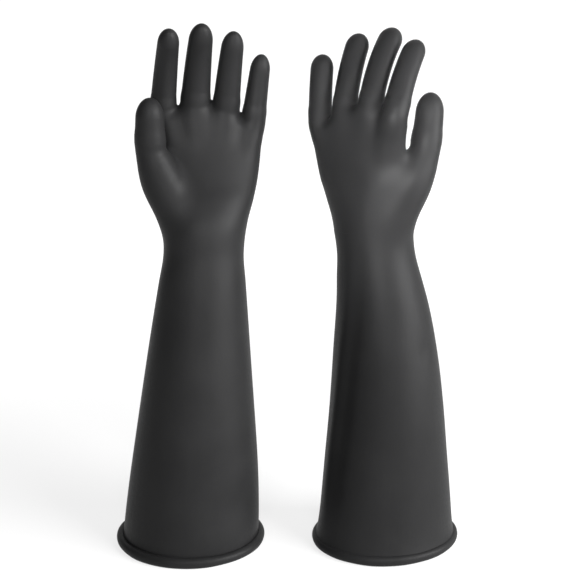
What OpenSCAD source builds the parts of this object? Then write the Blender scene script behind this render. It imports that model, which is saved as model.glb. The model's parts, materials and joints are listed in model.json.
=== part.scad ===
// A pair of long electrical insulating gloves, standing on their cuffs.
// Both gloves are for a left hand: one has its palm to the front, the other its back.
// Each glove is one skin of rubber. It bends anywhere, so it is divided at its flex lines:
// a sleeve, a hand shell, and a base and a tip for the thumb and for each finger.
//
// A glove's own frame has its origin under the middle of the cuff, +X towards the little
// finger, +Y towards the back of the hand and +Z up. Millimetres and degrees.

/* [Rubber] */
// Thickness of the rubber wall
wall = 3; // [2.4:0.1:3.6]

/* [Cuff] */
// Outer radius of the sleeve at the cuff
cuff_r = 62; // [59:0.5:64]
// Radius of the rolled bead's round section
bead_r = 4.8; // [4:0.1:5.5]
// Depth that the bead's underside is flattened by standing
bead_flat = 0.6; // [0.4:0.1:1]

/* [Sleeve] */
// Height of the wrist's flex line
wrist_z = 266; // [262:1:268]
// Width of the wrist, from thumb side to little-finger side
wrist_w = 70; // [66:1:74]
// Depth of the wrist, from palm to back
wrist_d = 64; // [60:1:68]
// Sideways offset of the wrist from the cuff's axis
wrist_x = 17.5; // [12:0.5:20]
// Offset of the wrist towards the back of the hand
wrist_y = -2; // [-4:1:6]
// How late the sleeve narrows on its way up
flare = 1.25; // [1.1:0.05:1.4]
// Slope of the sleeve's top edge, which leaves the wrist room to bend
wrist_bevel = 23; // [22:1:26]

/* [Pair] */
// Distance between the two cuff axes
spacing = 180; // [170:1:200]
// Turn of the glove that shows its palm
yaw_a = 10; // [0:1:20]
// Turn of the glove that shows its back
yaw_b = 145; // [135:1:160]

/* [Fit] */
// Gap left at each flex line
gap = 0.5; // [0.4:0.1:0.8]
// Slope of each finger piece's lower edge, which leaves it room to straighten
straighten = 12; // [11:1:14]

/* [Hidden] */
$fn = 32;
SIDES = 16;         // sides of a finger's section
ROUND = 32;         // sides of the sleeve's and the palm's section
RUBBER = [0.13, 0.13, 0.14];

// Thumb and fingers, one row each:
// base point, width, depth, length, first bend, last bend, sideways lean, turn about Z
DIGITS = [
    ["thumb",  [-25.5, -9,   356], 26,   26,   49,   -4,  8, -10,  100],
    ["index",  [-13,   20,   388], 22.5, 22.5, 78,   12, 58,   3,    0],
    ["middle", [ 13.7, 15.6, 391], 25,   24.5, 80.5, 12, 52,   1.5,  0],
    ["ring",   [ 40,   14,   388], 23,   22.5, 73.5, 14, 39,   3,    0],
    ["little", [ 64.3, 16,   379], 20.5, 20.5, 58,    8, 18,   5,    0],
];
THUMB = 0;
TAPER = 0.25;       // share of its girth that a finger loses by its tip
DOME = 1.25;        // length of the rounded tip, in half widths
MIDDLE_JOINT = 0.5; // place of the middle flex line, as a share of the length

// Palm sections, from the wrist to the webs: height, centre, half width, half depth
PALM = [
    [wrist_z + gap, [wrist_x, wrist_y], wrist_w / 2, wrist_d / 2],
    [296, [18.7, -1.4], 36.5, 30.5],
    [314, [20.9,  2],   39,   26],
    [331, [23.4,  6.6], 41.5, 20],
    [348, [25.4, 10],   43,   16],
    [363, [26,   12.6], 44.5, 13.5],
    [376, [26.4, 14.2], 46,   12],
    [384, [26.4, 15],   44,    9],
];
KNUCKLE_DROP = 10;  // how much lower the little finger's knuckle is than the middle one's
KNUCKLE_TOP = 12;   // sideways place of the highest knuckle
KNUCKLE_SPAN = 52;  // from there to the little finger

// Ball of the thumb, from inside the palm up to the thumb: centre, radius
THUMB_BALL = [
    [[  0,    0.5, 296], 21.5],
    [[ -8.2, -1.2, 314], 21],
    [[-16,   -2.5, 330], 19],
    [[-21.5, -6.5, 340], 15],
];
ROOT_DEPTH = 27;    // how far a finger's root reaches into the palm
ROOT_CROWD = 0.14;  // how much closer together the roots lie than the fingers

PIECES = concat(
    ["cuff_bead", "sleeve", "hand"],
    [for (d = DIGITS) each [str(d[0], "_base"), str(d[0], "_tip")]]
);
GLOVES = ["glove_a", "glove_b"];

// ---- Lofting ----------------------------------------------------------------

// Two triangles for each side between ring i and ring j
function band(i, j, n) = [
    for (k = [0:n - 1])
        let (m = (k + 1) % n)
        each [[i * n + k, j * n + m, i * n + m], [i * n + k, j * n + k, j * n + m]]
];

// A skin over rings of n points. A tube's last ring meets its first; otherwise both ends are flat.
module skin(rings, tube = false) {
    n = len(rings[0]);
    last = len(rings) - 1;
    sides = [for (i = [0:last - 1]) each band(i, i + 1, n)];
    ends = tube
        ? band(last, 0, n)
        : concat(
            [for (k = [1:n - 2]) [0, k, k + 1]],
            [for (k = [1:n - 2]) [last * n, last * n + k + 1, last * n + k]]
        );
    polyhedron([for (r = rings) each r], concat(sides, ends), convexity = 8);
}

// Reverses the order of a list
function reversed(list) = [for (i = [len(list) - 1:-1:0]) list[i]];

// ---- Sleeve and bead ----------------------------------------------------------

// One ring of the sleeve, inset from its outer face. drop slopes it away from the wrist's axis.
function sleeve_ring(z, inset, drop = 0) =
    let (
        t = z / wrist_z,
        narrow = pow(t, flare),
        a = cuff_r + (wrist_w / 2 - cuff_r) * narrow - inset,
        b = cuff_r + (wrist_d / 2 - cuff_r) * narrow - inset
    ) [
        for (k = [0:ROUND - 1])
            let (u = 360 * k / ROUND, y = b * sin(u))
            [wrist_x * t + a * cos(u), wrist_y * t + y, z - gap * t - drop * abs(y)]
    ];

module sleeve() {
    foot = bead_r * 0.6;
    heights = [foot, 30, 65, 100, 135, 170, 205, 235];
    outer = concat([for (z = heights) sleeve_ring(z, 0)],
                   [sleeve_ring(wrist_z, 0, tan(wrist_bevel))]);
    inner = concat([for (z = heights) sleeve_ring(z, wall)],
                   [sleeve_ring(wrist_z, wall, tan(wrist_bevel))]);
    skin(concat(outer, reversed(inner)), tube = true);
}

// The rolled edge of the cuff: a ring of round section with a narrow flat to stand on
module cuff_bead() {
    rotate_extrude($fn = 96)
        intersection() {
            translate([cuff_r + 0.8, bead_r - bead_flat]) circle(bead_r);
            translate([cuff_r - 2 * bead_r, 0]) square([4 * bead_r, 3 * bead_r]);
        }
}

// ---- Thumb and fingers ----------------------------------------------------------

function bend_at(d, s) = d[5] + (d[6] - d[5]) * s / d[4];

// Centre of the digit at a distance s from its base. It curls towards -Y on a circular arc.
function spine(d, s) =
    let (r = 180 / PI * d[4] / (d[6] - d[5]), a = bend_at(d, s))
    [0, r * (cos(a) - cos(d[5])), r * (sin(a) - sin(d[5]))];

// Share of the full girth at s: a slow taper, then a rounded end
function girth(d, s, inset) =
    let (
        end = d[4] - inset,
        dome = DOME * d[2] / 2 - inset,
        x = max(0, min(0.995, (s - end + dome) / dome))
    ) (1 - TAPER * s / d[4]) * sqrt(1 - x * x);

// One ring of a digit. slope lifts the ring's back, so that the piece can straighten.
function digit_ring(d, s, inset, slope = 0) =
    let (
        c = spine(d, s),
        a = bend_at(d, s),
        g = girth(d, s, inset),
        half_w = (d[2] / 2 - inset) * g,
        half_d = (d[3] / 2 - inset) * g
    ) [
        for (k = [0:SIDES - 1])
            let (
                u = 360 * k / SIDES,
                v = half_d * sin(u),
                lift = slope * (v + half_d)
            )
            c + [half_w * cos(u), v * cos(a) - lift * sin(a), v * sin(a) + lift * cos(a)]
    ];

// Puts a digit's own frame at its base point on the hand
module at_base(d) {
    translate(d[1]) rotate([0, 0, d[8]]) rotate([0, d[7], 0]) children();
}

// Lower part of a digit: an open tube from the knuckle to the middle flex line
module digit_base(d) {
    low = gap;
    high = d[4] * MIDDLE_JOINT - gap;
    steps = [0.3, 0.65, 1];
    outer = concat([digit_ring(d, low, 0, tan(straighten))],
                   [for (t = steps) digit_ring(d, low + (high - low) * t, 0)]);
    inner = concat([digit_ring(d, low, wall, tan(straighten))],
                   [for (t = steps) digit_ring(d, low + (high - low) * t, wall)]);
    at_base(d) skin(concat(outer, reversed(inner)), tube = true);
}

// Upper part of a digit: a thimble with a rounded end
module digit_tip(d) {
    low = d[4] * MIDDLE_JOINT + gap;
    dome = DOME * d[2] / 2;
    high = d[4] - dome;
    // Angles round the dome, so that its rings lie evenly
    round_steps = [0, 30, 55, 76, 90];
    outer = concat([digit_ring(d, low, 0, tan(straighten))],
                   [digit_ring(d, (low + high) / 2, 0)],
                   [for (t = round_steps) digit_ring(d, high + dome * sin(t), 0)]);
    inner = concat([digit_ring(d, low, wall, tan(straighten))],
                   [digit_ring(d, (low + high) / 2, wall)],
                   [for (t = round_steps) digit_ring(d, high + (dome - wall) * sin(t), wall)]);
    at_base(d) skin(concat(reversed(outer), inner));
}

// ---- Hand ---------------------------------------------------------------------

// How far the webs drop away on both sides of the middle finger
function knuckle_arch(x, z) =
    let (top = PALM[len(PALM) - 1][0], t = max(0, (z - wrist_z) / (top - wrist_z)))
    KNUCKLE_DROP * t * t * pow((x - KNUCKLE_TOP) / KNUCKLE_SPAN, 2);

function palm_ring(row, inset) = [
    for (k = [0:ROUND - 1])
        let (
            u = 360 * k / ROUND,
            x = row[1].x + (row[2] - inset) * cos(u),
            y = row[1].y + (row[3] - inset) * sin(u)
        )
        [x, y, row[0] - knuckle_arch(x, row[0])]
];

// The palm and back, from the wrist to the webs. The inset one is the hollow, open at the wrist.
module palm(inset) {
    last = len(PALM) - 1;
    shift = function (row, dz) concat([row[0] + dz], [row[1], row[2], row[3]]);
    rings = inset == 0
        ? [for (row = PALM) palm_ring(row, 0)]
        : concat(
            [palm_ring(shift(PALM[0], -1), inset)],
            [for (i = [1:last]) palm_ring(shift(PALM[i], -inset * i / last), inset)]
        );
    skin(rings);
}

// A thin oval plate across a digit, where it meets the hand
module digit_plate(d, inset, lift) {
    at_base(d)
        rotate([d[5], 0, 0])
            translate([0, 0, lift])
                linear_extrude(0.02)
                    resize([d[2] - 2 * inset, d[3] - 2 * inset])
                        circle(d[2] / 2, $fn = SIDES);
}

// A ball inside the palm, on the line of a finger
module root_ball(d, inset) {
    translate([d[1].x + (KNUCKLE_TOP - d[1].x) * ROOT_CROWD, d[1].y, d[1].z - ROOT_DEPTH])
        sphere(d[3] / 2 - inset, $fn = 20);
}

// The root of a finger, which leads its hollow down into the palm
module finger_root(d, inset) {
    hull() {
        digit_plate(d, inset, inset == 0 ? 0 : 1);
        root_ball(d, inset);
    }
}

// The ball of the thumb, ending in the thumb's own section
module thumb_ball(inset) {
    last = len(THUMB_BALL) - 1;
    for (i = [0:last - 1])
        hull()
            for (s = [THUMB_BALL[i], THUMB_BALL[i + 1]])
                translate(s[0]) sphere(s[1] - inset, $fn = 24);
    hull() {
        digit_plate(DIGITS[THUMB], inset, inset == 0 ? 0 : 1);
        translate(THUMB_BALL[last][0]) sphere(THUMB_BALL[last][1] - inset, $fn = 24);
    }
}

module hand_form(inset) {
    palm(inset);
    thumb_ball(inset);
    for (i = [1:4]) finger_root(DIGITS[i], inset);
    for (i = [1:3])
        hull() {
            root_ball(DIGITS[i], inset);
            root_ball(DIGITS[i + 1], inset);
        }
}

module hand() {
    difference() {
        hand_form(0);
        hand_form(wall);
        // The ball of the thumb starts above the wrist's flex line
        translate([-100, -100, wrist_z - 60]) cube([200, 200, 60 + gap]);
    }
}

// ---- The pair -------------------------------------------------------------------

module place(g) {
    translate([g == 0 ? -spacing / 2 : spacing / 2, 0, 0])
        rotate([0, 0, g == 0 ? yaw_a : yaw_b])
            children();
}

module piece(i) {
    color(RUBBER)
        if (i == 0) cuff_bead();
        else if (i == 1) sleeve();
        else if (i == 2) hand();
        else if (i % 2 == 1) digit_base(DIGITS[(i - 3) / 2]);
        else digit_tip(DIGITS[(i - 4) / 2]);
}

for (g = [0:1])
    for (i = [0:len(PIECES) - 1])
        place(g) piece(i);
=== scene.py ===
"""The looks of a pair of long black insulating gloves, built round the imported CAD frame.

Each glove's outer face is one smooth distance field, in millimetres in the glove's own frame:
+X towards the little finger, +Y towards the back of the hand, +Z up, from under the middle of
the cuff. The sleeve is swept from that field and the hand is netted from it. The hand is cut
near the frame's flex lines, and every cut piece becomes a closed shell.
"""

import json
import math

import bmesh
import bpy
import numpy as np
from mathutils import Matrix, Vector


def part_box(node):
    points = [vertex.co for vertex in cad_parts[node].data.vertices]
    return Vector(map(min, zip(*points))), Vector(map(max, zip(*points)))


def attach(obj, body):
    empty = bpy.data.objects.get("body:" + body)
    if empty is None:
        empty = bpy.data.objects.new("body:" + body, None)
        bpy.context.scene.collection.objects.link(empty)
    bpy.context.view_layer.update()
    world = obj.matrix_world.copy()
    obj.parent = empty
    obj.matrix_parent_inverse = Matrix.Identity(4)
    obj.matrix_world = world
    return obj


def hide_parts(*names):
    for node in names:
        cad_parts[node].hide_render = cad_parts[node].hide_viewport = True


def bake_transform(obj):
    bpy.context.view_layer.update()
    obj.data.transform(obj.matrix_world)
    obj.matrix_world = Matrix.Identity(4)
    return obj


MM = 0.001
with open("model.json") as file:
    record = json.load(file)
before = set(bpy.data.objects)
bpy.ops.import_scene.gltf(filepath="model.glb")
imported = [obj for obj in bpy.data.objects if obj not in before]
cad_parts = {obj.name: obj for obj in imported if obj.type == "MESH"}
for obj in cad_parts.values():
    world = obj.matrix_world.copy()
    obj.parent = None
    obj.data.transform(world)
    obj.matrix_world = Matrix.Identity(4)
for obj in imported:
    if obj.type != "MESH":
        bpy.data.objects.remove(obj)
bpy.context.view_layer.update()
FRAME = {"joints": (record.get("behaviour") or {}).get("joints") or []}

# ---- Sizes of a glove, in millimetres and degrees, close to the CAD part's --------------

WALL = 3.0
CUFF_R, BEAD_R, BEAD_RING_R = 62.0, 4.8, 62.8
WRIST = dict(x=17.4, y=-2.2, z=266.0, half_w=35.0, half_d=32.0)
FLARE = 1.25        # how late the sleeve narrows above the cuff: 1 would be a plain cone
SLEEVE_ROWS = 12    # sections that stand for the flare

# Palm sections above the wrist: height, centre x and y, half width, half depth
PALM = [
    (296, 19.5, -1.4, 37, 30.5),
    (314, 22, 2, 40.1, 26),
    (331, 24.2, 6.6, 42.3, 20.5),
    (348, 25.5, 10, 43.3, 16),
    (363, 25.3, 12.6, 43.8, 13.5),
    (373, 25.6, 14, 44.8, 12.5),
    (384, 26, 15, 46, 11.5),
]
# The ball of the thumb, from inside the wrist up into the thumb: height, centre x and y, radius
THUMB_BALL = [
    (276, 8, 0, 15),
    (296, 1.6, 0.4, 19.5),
    (314, -7.6, -1.5, 20),
    (331, -16.5, -3.3, 18.6),
    (346, -22.4, -7, 15.5),
    (356, -25.6, -9.2, 13),
    (368, -26.4, -11.4, 12.0),
]
# Thumb and fingers, as those of each glove have set: base, width, depth, share of the girth
# lost by the tip, length, first and last bend, lean, turn about Z
DIGITS = {
    "glove_a": {
        "thumb": ((-25.5, -9, 356), 26, 26, 0.14, 45, -6, 3, -12, 100),
        "index": ((-13.9, 18.5, 388), 22.5, 22.5, 0.25, 79.5, 12, 55, 4.8, 0),
        "middle": ((13.7, 15.6, 391), 26, 24.5, 0.29, 79.7, 12, 52, 3.7, 0),
        "ring": ((40.1, 14, 388), 24, 22.5, 0.27, 73, 14, 39, 4.0, 0),
        "little": ((64, 14, 379), 21.3, 20.5, 0.25, 59, 8, 18, 6.3, 0),
    },
    "glove_b": {
        "thumb": ((-25.5, -9, 356), 26, 26, 0.14, 49.5, -6, 4, -12, 100),
        "index": ((-11.8, 18.5, 388), 22, 20, 0.08, 74.3, 28, 48, 4.4, 0),
        "middle": ((13.9, 15.6, 391), 21.3, 19.5, 0.0, 80.5, 19, 50, 2.2, 0),
        "ring": ((40.1, 14, 388), 21.4, 19.5, 0.02, 74, 16, 38, 3.9, 0),
        "little": ((64.8, 13.5, 379), 20.7, 19.5, 0.02, 59.8, 8, 18, 6.1, 0),
    },
}
# The fingers' roots in the palm: X of each one's foot, the foot's Y and radius, its depth
# below the finger's base, and a waist part of the way up
FINGERS = ["index", "middle", "ring", "little"]
FEET_X = (2, 17, 36, 54)
FOOT_Y, FOOT_R, FOOT_DEPTH = 10, 7.5, 46
WAIST_DEPTH, WAIST_SHIFT, WAIST_GIRTH = 22, 2.5, 0.88
CLOSE = 12.0        # how near to a form its distance is worked out exactly
DOME = 1.25         # length of a digit's rounded tip, in half widths
ROOT = 5.0          # length of a digit's rounded root, hidden in the hand
JOIN = 9.0          # how far a root's tube reaches up into its finger
JOIN_INSET = 0.4    # how far the tube ends inside the finger's face
JOIN_TUCK = 0.14    # share of its girth that a digit loses at its base, inside the tube
CUT_BASE = 10.0     # distance of the lower cut above the knuckle, clear of the webs
CUT_MIDDLE = 0.5    # place of the middle cut, as a share of the digit's length
CUT_WRIST = 20.0    # height of the cut between sleeve and hand above the wrist's axis
CUT_REACH = 2.5     # how far from a digit's own form its cuts still reach
BEND_BASE, BEND_TIP, BEND_WRIST = 16.0, 14.0, 40.0    # lengths of the spans past the base, tip and wrist cuts
BEND_GAP = 0.5      # what a base's span leaves free below the middle cut

WEB_TOP = 393.5     # height of the highest webs
WEB_ROUND = 12.0    # height over which the trunk rounds off below them
WEB_ARCH = 15.0     # how far the webs drop by the arch's half width
WEB_MIDDLE, WEB_HALF = 12, 52    # X of the arch's top, and its half width

# Fillets between the parts of the form
FILLET_ROOT = 2.5               # a finger and its root
FILLET_WEB = [4.0, 0.6]         # neighbouring fingers at the webs, and clear above them
FILLET_WEB_FADE = (2, 11)       # heights above the webs between which it fades
FILLET_PALM = 6.0               # the fingers and the palm
FILLET_THUMB = 3.0              # the thumb and its ball
CREASE_Z = [300, 330, 350, 365, 385]    # heights up the crease between thumb and palm
CREASE_FILLET = [9, 8, 8, 8, 5]

BEAD_FLAT = 0.6     # depth of the bead's flat underside
# Unevenness of the bead's roll: share of its girth, waves round the cuff, phase
BEAD_WAVES = ((0.035, 3, 1.3), (0.02, 7, 0), (0.012, 13, 2))
FOOT = 4.0          # height of the sleeve's lower edge, inside the bead
FLARE_FADE = 9      # height over which a sleeve's flare into its bead fades
SAG_TOP = 240       # height up to which the cuff's oval and skew reach
LIFT_TOP = 90       # height up to which a lifted cuff is felt

# How each glove has settled: flare of the sleeve into the bead, thickness of the bead, height
# of the cuff's most lifted side and its direction in radians, flatness of the cuff's oval and
# its skew, and a dent's depth, height, reach up and down, angle in degrees and reach round
SETTLED = {
    "glove_a": dict(
        spread=0.0, bead=1.0, lift=(1.6, 0.5), oval=0.09, skew=-0.05, dent=(1.6, 46, 26, -34, 20)
    ),
    "glove_b": dict(
        spread=3.4, bead=0.94, lift=(2.4, 0.2), oval=0.14, skew=0.05, dent=(0.9, 186, 10, -48, 12)
    ),
}
# Glove A's lower sleeve is wider and stands further to its right: share or shift, height, reach
WIDE_A, SHIFT_A = (0.019, 55, 70), (1.2, 60, 100)
# Glove B's sleeve bows to its right: heights, and the shift there
BOW_Z = [0, 30, 80, 130, 180, 225, 250, 283]
BOW_X = [0.2, 2.2, 4.3, 6.3, 6.7, 5.4, 3.0, 0]
BELLY_B = (1.4, 185, 60)    # it is wider half way up: by how much, at what height, reach
# and it has a long soft fold down its left side: ridge and groove with their height, angle
# and width, then where the fold is strongest and its reach, and where it starts and its rise
RIDGE_B, GROOVE_B = (1.2, -165, 8), (1.5, -151, 9)
FOLD_RUN, FOLD_START = (130, 110), (12, 40)

STEP = 1.8      # spacing of the net over the hand
NET_LOW, NET_HIGH = (-50, -50), (86, 50, 470)    # the net's box, from below the wrist's cut
# Points round and up the sleeve, and round the bead's section
AROUND, ALONG, ROLL = ((192, 150, 36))
RINGS_DENSER = 1.15     # how much the sleeve's rings crowd towards the bead
# In steps of the net: how far a cut reaches, and how near to it a vertex moves onto it
CUT_BAND, CUT_SNAP = 4, 0.3

# ---- Looks ------------------------------------------------------------------------------

RUBBER_DARK, RUBBER_PALE = (0.0085, 0.0085, 0.0087), (0.014, 0.014, 0.0143)
SHINE = 0.07            # specular level
# Scale, detail, stretch and roughness of each noise
NOISES = {
    "cloud": (22, 4, (1, 1, 1), 0.5),
    "grain": (1500, 3, (1, 1, 1), 0.6),
    "pebble": (420, 2, (1, 1, 1), 0.5),
    "runs": (48, 3, (1, 1, 0.12), 0.5),
}
NOISE_SPAN = (0.3, 0.7)     # the values between which a noise is spread out
# Bumps, the deepest first: noise, depth in metres, strength
BUMPS = (("runs", 0.0009, 0.35), ("pebble", 0.00012, 0.45), ("grain", 0.00005, 0.5))
WORLD_LIGHT = 1.08
FLOOR_TINT = (0.25, 0.25, 0.25, 1)
FLOOR_REACH = 8.0           # metres
FLOOR_GLOW = (0.72, 1.0)    # of the floor near the gloves and far from them
GLOW_REACH = (0.35, 1.3)    # what counts as near and as far, in metres
BRIGHT_SIDE = (0.25, 1, 0)
BRIGHT_SPAN = (0.1, 0.75)   # cosines from that side over which the studio darkens
WORLD_DARK = 0.05       # share of the light that comes from the darker side of the studio
# Name, place, aim, size in metres, power in watts, spread in degrees
LIGHTS = [
    ("key", (1.6, -0.85, 0.85), (0, 0, 0.25), (1.6, 1.2), 125, 180),
    ("front", (0.0, -1.6, 0.9), (0, 0, 0.3), (0.8, 0.8), 20, 180),
    ("accent", (-0.05, -0.65, 0.42), (0.105, 0, 0.385), (0.2, 0.2), 0.5, 26),
]
CAMERA_PLACE = (0.001, -0.80, 0.40)
CAMERA_PITCH = 11.55
CAMERA_LENS, CAMERA_SENSOR = 58.2, 36

# ---- Small maths ---------------------------------------------------------------------


def rotation(axis, degrees):
    """3x3 rotation about X, Y or Z."""
    c, s = math.cos(math.radians(degrees)), math.sin(math.radians(degrees))
    i, j = {"x": (1, 2), "y": (2, 0), "z": (0, 1)}[axis]
    m = np.eye(3)
    m[i, i] = m[j, j] = c
    m[i, j], m[j, i] = -s, s
    return m


def curve(x, knots, values):
    """Smooth curve through the knots, level beyond its ends."""
    k, v = np.asarray(knots, float), np.asarray(values, float)
    x = np.clip(x, k[0], k[-1])
    slope = np.gradient(v, k)
    i = np.clip(np.searchsorted(k, x, side="right") - 1, 0, len(k) - 2)
    h = k[i + 1] - k[i]
    t = (x - k[i]) / h
    return (
        v[i] * (2 * t**3 - 3 * t**2 + 1)
        + slope[i] * h * (t**3 - 2 * t**2 + t)
        + v[i + 1] * (3 * t**2 - 2 * t**3)
        + slope[i + 1] * h * (t**3 - t**2)
    )


def merge(a, b, k):
    """Union of two distance fields, with a fillet of about k."""
    h = np.maximum(k - np.abs(a - b), 0) / k
    return np.minimum(a, b) - h * h * k / 4


def bump(x, centre, width):
    """A soft bump of height 1."""
    return np.exp(-(((x - centre) / width) ** 2))


def ellipsoid(ratios, halves):
    """About the distance to an ellipsoid, from the coordinates and the half sizes."""
    k0 = np.sqrt(sum((r / h) ** 2 for r, h in zip(ratios, halves)))
    k1 = np.sqrt(sum((r / (h * h)) ** 2 for r, h in zip(ratios, halves)))
    return k0 * (k0 - 1) / np.maximum(k1, 1e-9)


def near_box(p, low, high, exact):
    """An exact distance near a box, and the distance to the box elsewhere, to save time."""
    d = np.linalg.norm(np.maximum(np.maximum(low - p, p - high), 0), axis=1)
    close = d < CLOSE
    if close.any():
        d[close] = exact(p[close])
    return d


def tube(p, rows):
    """Distance to a tube whose centre and radius follow smooth curves up through the rows."""
    z, x, y, r = np.array(rows, float).T
    centres = np.stack([x, y, z], 1)
    low, high = (centres - r[:, None]).min(0), (centres + r[:, None]).max(0)
    return near_box(p, low, high, lambda q: tube_near(q, rows))


def tube_near(p, rows):
    """The same, worked out from the nearest point of the centre line."""
    knots, *columns = zip(*rows)

    def centre(z):
        return np.stack([curve(z, knots, columns[0]), curve(z, knots, columns[1]), z], 1)

    z = np.clip(p[:, 2], knots[0], knots[-1])
    for _ in range(3):
        c = centre(z)
        along = centre(z + 0.5) - centre(z - 0.5)
        z = z + ((p - c) * along).sum(1) / np.maximum((along * along).sum(1), 0.5)
        z = np.clip(z, knots[0], knots[-1])
    return np.linalg.norm(p - centre(z), axis=1) - curve(z, knots, columns[2])


# ---- The glove's outer face ------------------------------------------------------------


class Digit:
    """A thumb or finger: a tapered round tube on an arc, in its own frame at its base."""

    def __init__(self, base, width, depth, taper, length, first, last, lean, turn):
        self.taper = taper
        self.base = np.array(base, float)
        self.half_w, self.half_d, self.length = width / 2, depth / 2, length
        self.first = math.radians(first)
        self.radius = length / math.radians(last - first)
        self.axes = rotation("z", turn) @ rotation("y", lean)
        self.dome = DOME * self.half_w

    def along(self, p):
        """Own coordinates of points: across, out of the arc, and along it."""
        q = (p - self.base) @ self.axes
        y = q[:, 1] + self.radius * math.cos(self.first)
        z = q[:, 2] + self.radius * math.sin(self.first)
        s = (np.arctan2(z, y) - self.first) * self.radius
        v = np.hypot(y, z) - self.radius
        straight = q[:, 2] * math.cos(self.first) - q[:, 1] * math.sin(self.first)
        flat = q[:, 1] * math.cos(self.first) + q[:, 2] * math.sin(self.first)
        below = straight < 0
        return q[:, 0], np.where(below, flat, v), np.where(below, straight, s)

    def field(self, p):
        """Distance to the digit."""
        ends = np.array([self.point(s)[0] for s in np.linspace(-ROOT, self.length, 9)])
        reach = max(self.half_w, self.half_d)
        return near_box(p, ends.min(0) - reach, ends.max(0) + reach, self.field_near)

    def field_near(self, p):
        """The same, worked out in the digit's own coordinates."""
        x, v, s = self.along(p)
        girth = 1 - self.taper * np.clip(s, 0, None) / self.length
        # below the join the digit lies just inside the tube of its root
        low = np.clip((JOIN - s) / JOIN, 0, 1)
        girth = girth * (1 - JOIN_TUCK * low * low * (3 - 2 * low))
        over = np.clip(s - (self.length - self.dome), 0, None)
        under = np.clip(s, None, 0) * self.dome / ROOT
        return ellipsoid(
            (x, v, over + under), (self.half_w * girth, self.half_d * girth, self.dome)
        )

    def point(self, s):
        """A point of the centre line and the line's direction there."""
        a = self.first + s / self.radius
        out, up = math.cos(a) - math.cos(self.first), math.sin(a) - math.sin(self.first)
        place = self.base + self.axes @ (np.array([0, out, up]) * self.radius)
        return place, self.axes @ [0, -math.sin(a), math.cos(a)]


def sections():
    """Heights, centres and half sizes of the trunk, from the cuff to the webs."""
    z = np.concatenate([np.linspace(0, WRIST["z"], SLEEVE_ROWS), [row[0] for row in PALM]])
    t = np.linspace(0, 1, SLEEVE_ROWS)
    rows = np.array(
        [
            (
                WRIST["x"] * k,
                WRIST["y"] * k,
                CUFF_R + (WRIST["half_w"] - CUFF_R) * k**FLARE,
                CUFF_R + (WRIST["half_d"] - CUFF_R) * k**FLARE,
            )
            for k in t
        ]
        + [row[1:] for row in PALM]
    )
    return z, rows


SECTION_Z, SECTION_ROWS = sections()


def trunk_centre(z):
    """Centre X and Y of the trunk at a height."""
    return [curve(z, SECTION_Z, SECTION_ROWS[:, i]) for i in (0, 1)]


def web_drop(p):
    """How far the webs lie below the highest ones."""
    return WEB_ARCH * ((p[:, 0] - WEB_MIDDLE) / WEB_HALF) ** 2


def trunk(p):
    """Sleeve, wrist and palm, rounded over at the webs."""
    z = p[:, 2]
    cx, cy = trunk_centre(z)
    a, b = [curve(z, SECTION_Z, SECTION_ROWS[:, i]) for i in (2, 3)]
    over = np.clip(z + web_drop(p) - (WEB_TOP - WEB_ROUND), 0, None)
    return ellipsoid((p[:, 0] - cx, p[:, 1] - cy, over), (a, b, WEB_ROUND))


class Form:
    """The outer face of a whole glove, as a distance field, negative inside."""

    def __init__(self, name):
        self.digits = {digit: Digit(*row) for digit, row in DIGITS[name].items()}
        # each finger runs down into the palm as a tapering tube and fades out there
        self.roots = []
        for digit, foot_x in zip(FINGERS, FEET_X):
            d = self.digits[digit]
            x, y, z = d.base
            joined, _ = d.point(JOIN)
            end = d.half_w * (1 - d.taper * JOIN / d.length) - JOIN_INSET
            waist = (foot_x + x) / 2, y - WAIST_SHIFT, d.half_w * WAIST_GIRTH
            self.roots.append(
                [
                    (z - FOOT_DEPTH, foot_x, FOOT_Y, FOOT_R),
                    (z - WAIST_DEPTH, *waist),
                    (z, x, y, d.half_w),
                    (joined[2], joined[0], joined[1], end),
                ]
            )

    def field(self, p):
        """Distance to the glove's outer face."""
        d = trunk(p)
        # above the webs neighbouring fingers touch without melting into each other
        fade = [WEB_TOP + rise for rise in FILLET_WEB_FADE]
        web = curve(p[:, 2] + web_drop(p), fade, FILLET_WEB)
        fingers = np.full(len(p), 1e9)
        for digit, root in zip(FINGERS, self.roots):
            finger = merge(tube(p, root), self.digits[digit].field(p), FILLET_ROOT)
            fingers = merge(fingers, finger, web)
        d = merge(d, fingers, FILLET_PALM)
        thumb = merge(tube(p, THUMB_BALL), self.digits["thumb"].field(p), FILLET_THUMB)
        return merge(d, thumb, curve(p[:, 2], CREASE_Z, CREASE_FILLET))

    def gradient(self, p, e=0.15):
        """Unit gradient of the field and the distance, from a tetrahedron of samples."""
        corners = np.array([(1, 1, 1), (1, -1, -1), (-1, 1, -1), (-1, -1, 1)], float)
        values = [self.field(p + e * c) for c in corners]
        g = sum(v[:, None] * c for v, c in zip(values, corners)) / (4 * e)
        size = np.maximum(np.linalg.norm(g, axis=1), 1e-6)
        return g / size[:, None], sum(values) / 4 / size

    def settle(self, p, rounds=3, within=None):
        """Moves points onto the outer face, keeping to the plane with the normal given."""
        for _ in range(rounds):
            n, d = self.gradient(p)
            if within is not None:
                n = n - (n @ within)[:, None] * within
                n /= np.maximum(np.linalg.norm(n, axis=1), 0.3)[:, None]
            p = p - n * np.clip(d, -1.5, 1.5)[:, None]
        return p


# ---- The net over the hand ----------------------------------------------------------------


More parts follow.
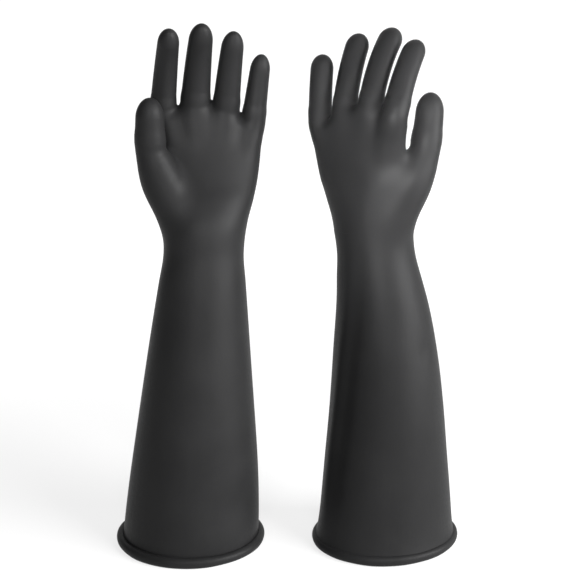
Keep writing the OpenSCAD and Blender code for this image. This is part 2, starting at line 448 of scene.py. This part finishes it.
def net(form, low, high, step):
    """Quads over the outer face inside a box, one vertex to each cell that the face crosses."""
    axes = [np.arange(lo, hi + step, step) for lo, hi in zip(low, high)]
    grid = np.stack(np.meshgrid(*axes, indexing="ij"), -1)
    value = form.field(grid.reshape(-1, 3)).reshape(grid.shape[:3])
    inside = value < 0
    cells = tuple(n - 1 for n in value.shape)
    total, count = np.zeros(cells + (3,)), np.zeros(cells)
    unit = np.eye(3, dtype=int)
    for axis in range(3):
        others = [i for i in range(3) if i != axis]
        for da in (0, 1):
            for db in (0, 1):
                shift = da * unit[others[0]] + db * unit[others[1]]
                near = tuple(slice(s, s + c) for s, c in zip(shift, cells))
                far = tuple(slice(s, s + c) for s, c in zip(shift + unit[axis], cells))
                a, b = value[near], value[far]
                hit = inside[near] != inside[far]
                t = np.where(hit, a / np.where(hit, a - b, 1), 0)
                crossing = grid[near] + t[..., None] * unit[axis] * step
                total += np.where(hit[..., None], crossing, 0)
                count += hit
    active = count > 0
    index = np.full(cells, -1)
    index[active] = np.arange(active.sum())
    verts = total[active] / count[active][:, None]
    quads = []
    for axis in range(3):
        a, b = [i for i in range(3) if i != axis]
        core = [slice(1, -1)] * 3
        core[axis] = slice(0, -1)
        ahead = list(core)
        ahead[axis] = slice(1, None)
        hit = inside[tuple(core)] != inside[tuple(ahead)]
        at = np.argwhere(hit)
        at[:, a] += 1
        at[:, b] += 1
        corner = [at - unit[a] - unit[b], at - unit[b], at, at - unit[a]]
        loop = np.stack([index[tuple(c.T)] for c in corner], 1)
        outward = inside[tuple(at.T)] ^ (axis == 1)
        loop[~outward] = loop[~outward][:, ::-1]
        quads.append(loop[(loop >= 0).all(1)])
    return verts, np.concatenate(quads)


def relax(form, verts, faces, rounds=6):
    """Evens out the net's spacing while its vertices stay on the outer face."""
    sides = np.concatenate([faces[:, [i, (i + 1) % 4]] for i in range(4)])
    edges = np.unique(np.sort(sides, 1), axis=0)
    for _ in range(rounds):
        total, count = np.zeros_like(verts), np.zeros(len(verts))
        for i, j in ((0, 1), (1, 0)):
            np.add.at(total, edges[:, i], verts[edges[:, j]])
            np.add.at(count, edges[:, i], 1)
        verts = form.settle(0.4 * verts + 0.6 * total / count[:, None], 1)
    return form.settle(verts, 3)


def hand_net(form):
    """The hand and its digits as one net, cut at every flex line."""
    wrist_cut = WRIST["z"] + CUT_WRIST
    verts, faces = net(form, (*NET_LOW, wrist_cut - 3 * STEP), NET_HIGH, STEP)
    verts = relax(form, verts, faces)
    planes = [(None, np.array([0, 0, wrist_cut]), np.array([0.0, 0, 1]))]
    for name, d in form.digits.items():
        for s in (CUT_BASE, CUT_MIDDLE * d.length):
            planes.append((name, *d.point(s)))
    bm = bmesh.new()
    for v in verts:
        bm.verts.new(v)
    bm.verts.ensure_lookup_table()
    for f in faces:
        bm.faces.new([bm.verts[i] for i in f])
    for name, co, normal in planes:
        co_all = np.array([v.co for v in bm.verts])
        off = (co_all - co) @ normal
        near = np.abs(off) < CUT_BAND * STEP
        if name:
            near &= form.digits[name].field(co_all) < CUT_REACH
        snap = near & (np.abs(off) < CUT_SNAP * STEP)
        co_all[snap] = form.settle(co_all[snap] - off[snap][:, None] * normal, 2, normal)
        bm.verts.ensure_lookup_table()
        for i in np.flatnonzero(snap):
            bm.verts[i].co = co_all[i]
        group = {bm.verts[i] for i in np.flatnonzero(near)}
        some = [f for f in bm.faces if all(v in group for v in f.verts)]
        edges, corners = {e for f in some for e in f.edges}, {v for f in some for v in f.verts}
        cut = bmesh.ops.bisect_plane(
            bm, geom=some + list(edges) + list(corners), dist=0.05, plane_co=co, plane_no=normal
        )
        fresh = [g for g in cut["geom_cut"] if isinstance(g, bmesh.types.BMVert)]
        moved = form.settle(np.array([v.co for v in fresh]), 2, normal)
        for v, p in zip(fresh, moved):
            v.co = p
    bm.verts.index_update()
    verts = np.array([v.co for v in bm.verts])
    faces = [[v.index for v in f.verts] for f in bm.faces]
    bm.free()
    return verts, faces


def sort_faces(form, verts, faces):
    """Shares the net's faces among the hand and the digits' pieces."""
    middle = np.array([verts[f].mean(0) for f in faces])
    fields = {name: d.field(middle) for name, d in form.digits.items()}
    piece = np.full(len(faces), "hand", dtype=object)
    nearest = np.argmin(np.stack([fields[n] for n in form.digits]), 0)
    for i, (name, d) in enumerate(form.digits.items()):
        for s, part in ((CUT_BASE, "base"), (CUT_MIDDLE * d.length, "tip")):
            co, normal = d.point(s)
            mine = (nearest == i) & (fields[name] < CUT_REACH) & ((middle - co) @ normal > 0)
            piece[mine & (d.along(middle)[2] > CUT_BASE / 2)] = f"{name}_{part}"
    piece[middle[:, 2] < WRIST["z"] + CUT_WRIST] = "waste"
    return piece


# ---- Meshes -------------------------------------------------------------------------------


def compact(verts, faces):
    """Keeps only the vertices that the faces use."""
    used = np.unique(np.concatenate([np.asarray(f) for f in faces]))
    new = np.full(len(verts), -1)
    new[used] = np.arange(len(used))
    return verts[used], [[int(new[i]) for i in f] for f in faces], used


def shell(verts, normals, faces):
    """Closes an open skin with an inner face one wall in and a rim along its edges."""
    n = len(verts)
    inner = verts - normals * WALL
    ahead = {(f[i], f[(i + 1) % len(f)]) for f in faces for i in range(len(f))}
    rim = [(a, b) for a, b in ahead if (b, a) not in ahead]
    rim.sort()
    solid = faces + [[i + n for i in f[::-1]] for f in faces]
    solid += [[b, a, a + n, b + n] for a, b in rim]
    return np.concatenate([verts, inner]), np.concatenate([normals, -normals]), solid, len(rim)


def make_object(name, verts, faces, normals=None, rims=0):
    """A mesh object from millimetres in the row's axes. Rim faces keep their own flat shading."""
    mesh = bpy.data.meshes.new(name)
    mesh.from_pydata((verts * MM).tolist(), [], faces)
    mesh.polygons.foreach_set("use_smooth", [True] * len(faces))
    if normals is not None:
        loop_vertex = np.zeros(len(mesh.loops), int)
        mesh.loops.foreach_get("vertex_index", loop_vertex)
        custom = normals[loop_vertex]
        if rims:
            first = sum(len(f) for f in faces[:-rims])
            flat = np.zeros(len(mesh.polygons) * 3)
            mesh.polygons.foreach_get("normal", flat)
            custom[first:] = np.repeat(flat.reshape(-1, 3)[-rims:], 4, axis=0)
        mesh.normals_split_custom_set(custom.tolist())
    obj = bpy.data.objects.new(name, mesh)
    bpy.context.scene.collection.objects.link(obj)
    return obj


# ---- Each glove's own lie ---------------------------------------------------------------------


class Glove:
    """Where one glove stands, and how its sleeve and bead differ from the formed shape."""

    def __init__(self, name):
        self.name = name
        low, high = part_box(f"{name}_cuff_bead")
        self.centre = np.array([(low.x + high.x) / 2, (low.y + high.y) / 2, 0]) / MM
        self.wrist = next(j for j in FRAME["joints"] if j["name"] == f"{name}_wrist")
        across = self.wrist["axis"]
        self.axes = rotation("z", math.degrees(math.atan2(across[1], across[0])))
        self.form = Form(name)
        self.settled = SETTLED[name]

    def to_row(self, p):
        """Points of the glove's own frame in the row's axes."""
        return p @ self.axes.T + self.centre

    def turned(self, v):
        """Directions of the glove's own frame in the row's axes."""
        return v @ self.axes.T

    def sag(self, p):
        """The sleeve's soft changes below the wrist, in the row's axes."""
        q = p.copy()
        z = p[:, 2]
        low = np.clip(1 - z / SAG_TOP, 0, 1)
        low = low * low * (3 - 2 * low)
        out = p - self.centre
        angle = np.degrees(np.arctan2(out[:, 1], out[:, 0]))
        radial = out * [1, 1, 0]
        reach = np.maximum(np.linalg.norm(radial, axis=1), 1e-6)[:, None]
        radial = radial / reach
        q[:, 1] -= out[:, 1] * self.settled["oval"] * low
        q[:, 1] += out[:, 0] * self.settled["skew"] * low
        if self.name == "glove_a":
            q[:, 0] += out[:, 0] * WIDE_A[0] * bump(z, *WIDE_A[1:])
            q[:, 0] += SHIFT_A[0] * bump(z, *SHIFT_A[1:])
        else:
            q[:, 0] += curve(z, BOW_Z, BOW_X)
            q[:, 0] += radial[:, 0] * BELLY_B[0] * bump(z, *BELLY_B[1:])
            side = bump(z, *FOLD_RUN) * np.clip((z - FOLD_START[0]) / FOLD_START[1], 0, 1)
            ridge, groove = [row[0] * bump(angle, *row[1:]) for row in (RIDGE_B, GROOVE_B)]
            q += radial * ((ridge - groove) * side)[:, None]
        depth, height, tall, where, wide = self.settled["dent"]
        dent = bump(z, height, tall) * bump(angle, where, wide)
        return q - radial * (depth * dent)[:, None]

    def flare(self, p):
        """Widens the foot of a sleeve that runs out into its bead, in the glove's frame."""
        wide = self.settled["spread"] * np.exp(-np.clip(p[:, 2] - FOOT, 0, None) / FLARE_FADE)
        centre = np.stack([*trunk_centre(p[:, 2]), p[:, 2]], 1)
        out = p - centre
        return p + out * (wide / np.linalg.norm(out, axis=1))[:, None]

    def rest_on_floor(self, p):
        """Lifts the cuff a little where it doesn't touch the floor."""
        out = p - self.centre
        angle = np.arctan2(out[:, 1], out[:, 0])
        height, direction = self.settled["lift"]
        lift = height * (1 + np.cos(angle - direction)) / 2
        level = 0 * lift
        return p + np.stack([level, level, lift * np.clip(1 - p[:, 2] / LIFT_TOP, 0, 1)], 1)


# ---- Pieces ---------------------------------------------------------------------------------


def sleeve_skin(glove):
    """The sleeve's outer face as rings from inside the bead to the wrist's cut."""
    top = WRIST["z"] + CUT_WRIST
    z = FOOT + (top - FOOT) * np.linspace(0, 1, ALONG) ** RINGS_DENSER
    angle = np.linspace(0, 2 * math.pi, AROUND, endpoint=False)
    zz, aa = np.meshgrid(z, angle, indexing="ij")
    zz, aa = zz.ravel(), aa.ravel()
    cx, cy = trunk_centre(zz)
    r = curve(zz, SECTION_Z, SECTION_ROWS[:, 2])

    def at(radius):
        return np.stack([cx + radius * np.cos(aa), cy + radius * np.sin(aa), zz], 1)

    for _ in range(6):
        here, ahead = glove.form.field(at(r)), glove.form.field(at(r + 0.2))
        rise = np.where(np.abs(ahead - here) < 1e-4, 1e-4, ahead - here)
        r = r - np.clip(here * 0.2 / rise, -4, 4)
    skin = at(r)
    exact, _ = glove.form.gradient(skin)
    flared = glove.flare(skin)
    row = glove.rest_on_floor(glove.sag(glove.to_row(flared)))
    grid = row.reshape(ALONG, AROUND, 3)
    round_step = np.roll(grid, -1, 1) - np.roll(grid, 1, 1)
    up_step = np.gradient(grid, axis=0)
    normal = np.cross(round_step, up_step)
    normal /= np.linalg.norm(normal, axis=2, keepdims=True)
    # the last rings take the field's own normals, so that the hand carries on from them
    share = np.clip((np.arange(ALONG) - (ALONG - 12)) / 9, 0, 1)[:, None, None]
    normal = normal * (1 - share) + glove.turned(exact).reshape(normal.shape) * share
    normal /= np.linalg.norm(normal, axis=2, keepdims=True)
    faces = []
    for i in range(ALONG - 1):
        ring, above = i * AROUND, (i + 1) * AROUND
        for j in range(AROUND):
            k = (j + 1) % AROUND
            faces.append([ring + j, ring + k, above + k, above + j])
    return row, normal.reshape(-1, 3), faces


def bead_mesh(glove):
    """The rolled bead: a slightly uneven round roll that stands on the floor."""
    faces, rows = [], []
    for i in range(AROUND):
        a = 2 * math.pi * i / AROUND
        fat = 1
        for share, waves, phase in BEAD_WAVES:
            fat += share * math.sin(waves * a + phase)
        r = BEAD_R * (glove.settled["bead"] * fat)
        here, ahead = i * ROLL, (i + 1) % AROUND * ROLL
        for j in range(ROLL):
            b = 2 * math.pi * j / ROLL
            ring, up = BEAD_RING_R + r * math.cos(b), r * math.sin(b)
            up = max(up, -BEAD_R + BEAD_FLAT)
            rows.append((ring * math.cos(a), ring * math.sin(a), BEAD_R - BEAD_FLAT + up))
            k = (j + 1) % ROLL
            faces.append([here + j, ahead + j, ahead + k, here + k])
    points = glove.to_row(np.array(rows))
    return glove.rest_on_floor(glove.sag(points)), faces


def map_range(nodes, span, to):
    """A node that spreads the values of one range out over another."""
    node = nodes.new("ShaderNodeMapRange")
    node.inputs["From Min"].default_value, node.inputs["From Max"].default_value = span
    node.inputs["To Min"].default_value, node.inputs["To Max"].default_value = to
    return node


def rubber():
    """Black satin rubber: mottled, finely grained, with the faint runs that dipping leaves."""
    mat = bpy.data.materials.new("black_rubber")
    mat.use_nodes = True
    nodes, links = mat.node_tree.nodes, mat.node_tree.links
    shader = nodes["Principled BSDF"]
    where = nodes.new("ShaderNodeTexCoord")

    def noise(scale, detail, stretch, rough):
        mapping = nodes.new("ShaderNodeMapping")
        mapping.inputs["Scale"].default_value = stretch
        links.new(where.outputs["Object"], mapping.inputs["Vector"])
        node = nodes.new("ShaderNodeTexNoise")
        node.inputs["Scale"].default_value = scale
        node.inputs["Detail"].default_value = detail
        node.inputs["Roughness"].default_value = rough
        links.new(mapping.outputs["Vector"], node.inputs["Vector"])
        return node.outputs["Fac"]

    def plus(a, b):
        node = nodes.new("ShaderNodeMath")
        node.operation = "ADD"
        links.new(a, node.inputs[0])
        links.new(b, node.inputs[1])
        return node.outputs["Value"]

    noises = {name: noise(*settings) for name, settings in NOISES.items()}

    def spread(name, low, high):
        node = map_range(nodes, NOISE_SPAN, (low, high))
        links.new(noises[name], node.inputs["Value"])
        return node.outputs["Result"]

    tint = nodes.new("ShaderNodeMix")
    tint.data_type = "RGBA"
    tint.inputs["A"].default_value = (*RUBBER_DARK, 1)
    tint.inputs["B"].default_value = (*RUBBER_PALE, 1)
    links.new(plus(spread("cloud", 0.1, 0.6), spread("grain", 0, 0.35)), tint.inputs["Factor"])
    links.new(tint.outputs["Result"], shader.inputs["Base Color"])
    rough = plus(spread("cloud", 0.40, 0.47), spread("pebble", 0, 0.09))
    links.new(rough, shader.inputs["Roughness"])
    last = None
    for name, distance, strength in BUMPS:
        node = nodes.new("ShaderNodeBump")
        node.inputs["Distance"].default_value = distance
        node.inputs["Strength"].default_value = strength
        links.new(noises[name], node.inputs["Height"])
        if last:
            links.new(last, node.inputs["Normal"])
        last = node.outputs["Normal"]
    links.new(last, shader.inputs["Normal"])
    shader.inputs["Specular IOR Level"].default_value = SHINE
    return mat


def dress(obj, mat, node):
    """Gives a piece its rubber and hides the CAD node that it stands for."""
    obj.data.materials.append(mat)
    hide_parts(node)


def build(glove, mat):
    """Makes one glove's pieces, and joins the bead and the hand to their bodies."""
    name = glove.name
    points, faces = bead_mesh(glove)
    bead = make_object(f"{name}_bead_roll", points, faces)
    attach(bead, f"{name}_sleeve")
    dress(bead, mat, f"{name}_cuff_bead")

    skin, normals, faces = sleeve_skin(glove)
    solid = shell(skin, normals, faces)
    sleeve = make_object(f"{name}_sleeve_skin", solid[0], solid[2], solid[1], solid[3])
    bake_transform(sleeve)
    dress(sleeve, mat, f"{name}_sleeve")

    form = glove.form
    net_verts, net_faces = hand_net(form)
    owner = sort_faces(form, net_verts, net_faces)
    net_normals, _ = form.gradient(net_verts)
    for part in ["hand"] + [f"{d}_{e}" for d in form.digits for e in ("base", "tip")]:
        own = [net_faces[i] for i in np.flatnonzero(owner == part)]
        verts, faces, used = compact(net_verts, own)
        solid = shell(glove.to_row(verts), glove.turned(net_normals[used]), faces)
        obj = make_object(f"{name}_{part}_skin", solid[0], solid[2], solid[1], solid[3])
        if part == "hand":
            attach(obj, f"{name}_hand")
        else:
            digit, place = part.split("_")
            d = form.digits[digit]
            cut = CUT_BASE if place == "base" else CUT_MIDDLE * d.length
            room = CUT_MIDDLE * d.length - CUT_BASE - BEND_GAP
            length = min(BEND_BASE, room) if place == "base" else BEND_TIP
            co, normal = d.point(cut)
            start = glove.to_row(co[None])[0]
            end = start + glove.turned(normal[None])[0] * length
            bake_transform(obj)
        dress(obj, mat, f"{name}_{part}")


def surroundings():
    """A studio that is white behind the gloves and to their right, and darker elsewhere."""
    world = bpy.data.worlds.new("studio")
    bpy.context.scene.world = world
    world.use_nodes = True
    nodes, links = world.node_tree.nodes, world.node_tree.links
    nodes["Background"].inputs["Strength"].default_value = WORLD_LIGHT
    where = nodes.new("ShaderNodeTexCoord")
    towards = nodes.new("ShaderNodeVectorMath")
    towards.operation = "DOT_PRODUCT"
    towards.inputs[1].default_value = Vector(BRIGHT_SIDE).normalized()
    links.new(where.outputs["Generated"], towards.inputs[0])
    shade = map_range(nodes, BRIGHT_SPAN, (WORLD_DARK, 1.0))
    shade.interpolation_type = "SMOOTHSTEP"
    links.new(towards.outputs["Value"], shade.inputs["Value"])
    grey = nodes.new("ShaderNodeCombineColor")
    for channel in ("Red", "Green", "Blue"):
        links.new(shade.outputs["Result"], grey.inputs[channel])
    links.new(grey.outputs["Color"], nodes["Background"].inputs["Color"])


def pale_floor():
    """A floor that glows a little far from the gloves, so that it meets the background unseen."""
    mesh = bpy.data.meshes.new("floor")
    signs = ((-1, -1), (1, -1), (1, 1), (-1, 1))
    corners = [(x * FLOOR_REACH, y * FLOOR_REACH, 0) for x, y in signs]
    mesh.from_pydata(corners, [], [(0, 1, 2, 3)])
    floor = bpy.data.objects.new("floor", mesh)
    bpy.context.scene.collection.objects.link(floor)
    mat = bpy.data.materials.new("white_floor")
    mat.use_nodes = True
    nodes, links = mat.node_tree.nodes, mat.node_tree.links
    shader = nodes["Principled BSDF"]
    shader.inputs["Base Color"].default_value = FLOOR_TINT
    shader.inputs["Roughness"].default_value = 0.9
    shader.inputs["Specular IOR Level"].default_value = 0.1
    spot = nodes.new("ShaderNodeTexCoord")
    away = nodes.new("ShaderNodeVectorMath")
    away.operation = "LENGTH"
    links.new(spot.outputs["Object"], away.inputs[0])
    glow = map_range(nodes, GLOW_REACH, FLOOR_GLOW)
    glow.interpolation_type = "SMOOTHSTEP"
    links.new(away.outputs["Value"], glow.inputs["Value"])
    shader.inputs["Emission Color"].default_value = (1, 1, 1, 1)
    links.new(glow.outputs["Result"], shader.inputs["Emission Strength"])
    mesh.materials.append(mat)


def lamps():
    """A large soft key from the upper right, a weak front light and a small accent."""
    for name, place, aim, size, power, spread in LIGHTS:
        light = bpy.data.lights.new(name, "AREA")
        light.shape = "RECTANGLE"
        light.size, light.size_y = size
        light.energy = power
        light.spread = math.radians(spread)
        lamp = bpy.data.objects.new(name, light)
        lamp.location = place
        lamp.rotation_euler = (Vector(aim) - Vector(place)).to_track_quat("-Z", "Y").to_euler()
        bpy.context.scene.collection.objects.link(lamp)


def viewpoint():
    """The camera, where the picture was taken from."""
    cam = bpy.data.cameras.new("camera")
    cam.lens, cam.sensor_width = CAMERA_LENS, CAMERA_SENSOR
    camera = bpy.data.objects.new("camera", cam)
    camera.location = CAMERA_PLACE
    camera.rotation_euler = (math.radians(90 - CAMERA_PITCH), 0, 0)
    bpy.context.scene.collection.objects.link(camera)
    bpy.context.scene.camera = camera
    bpy.context.scene.view_settings.view_transform = "Standard"


surroundings()
pale_floor()
lamps()
viewpoint()
material = rubber()
for glove_name in ("glove_a", "glove_b"):
    build(Glove(glove_name), material)

bpy.context.view_layer.update()
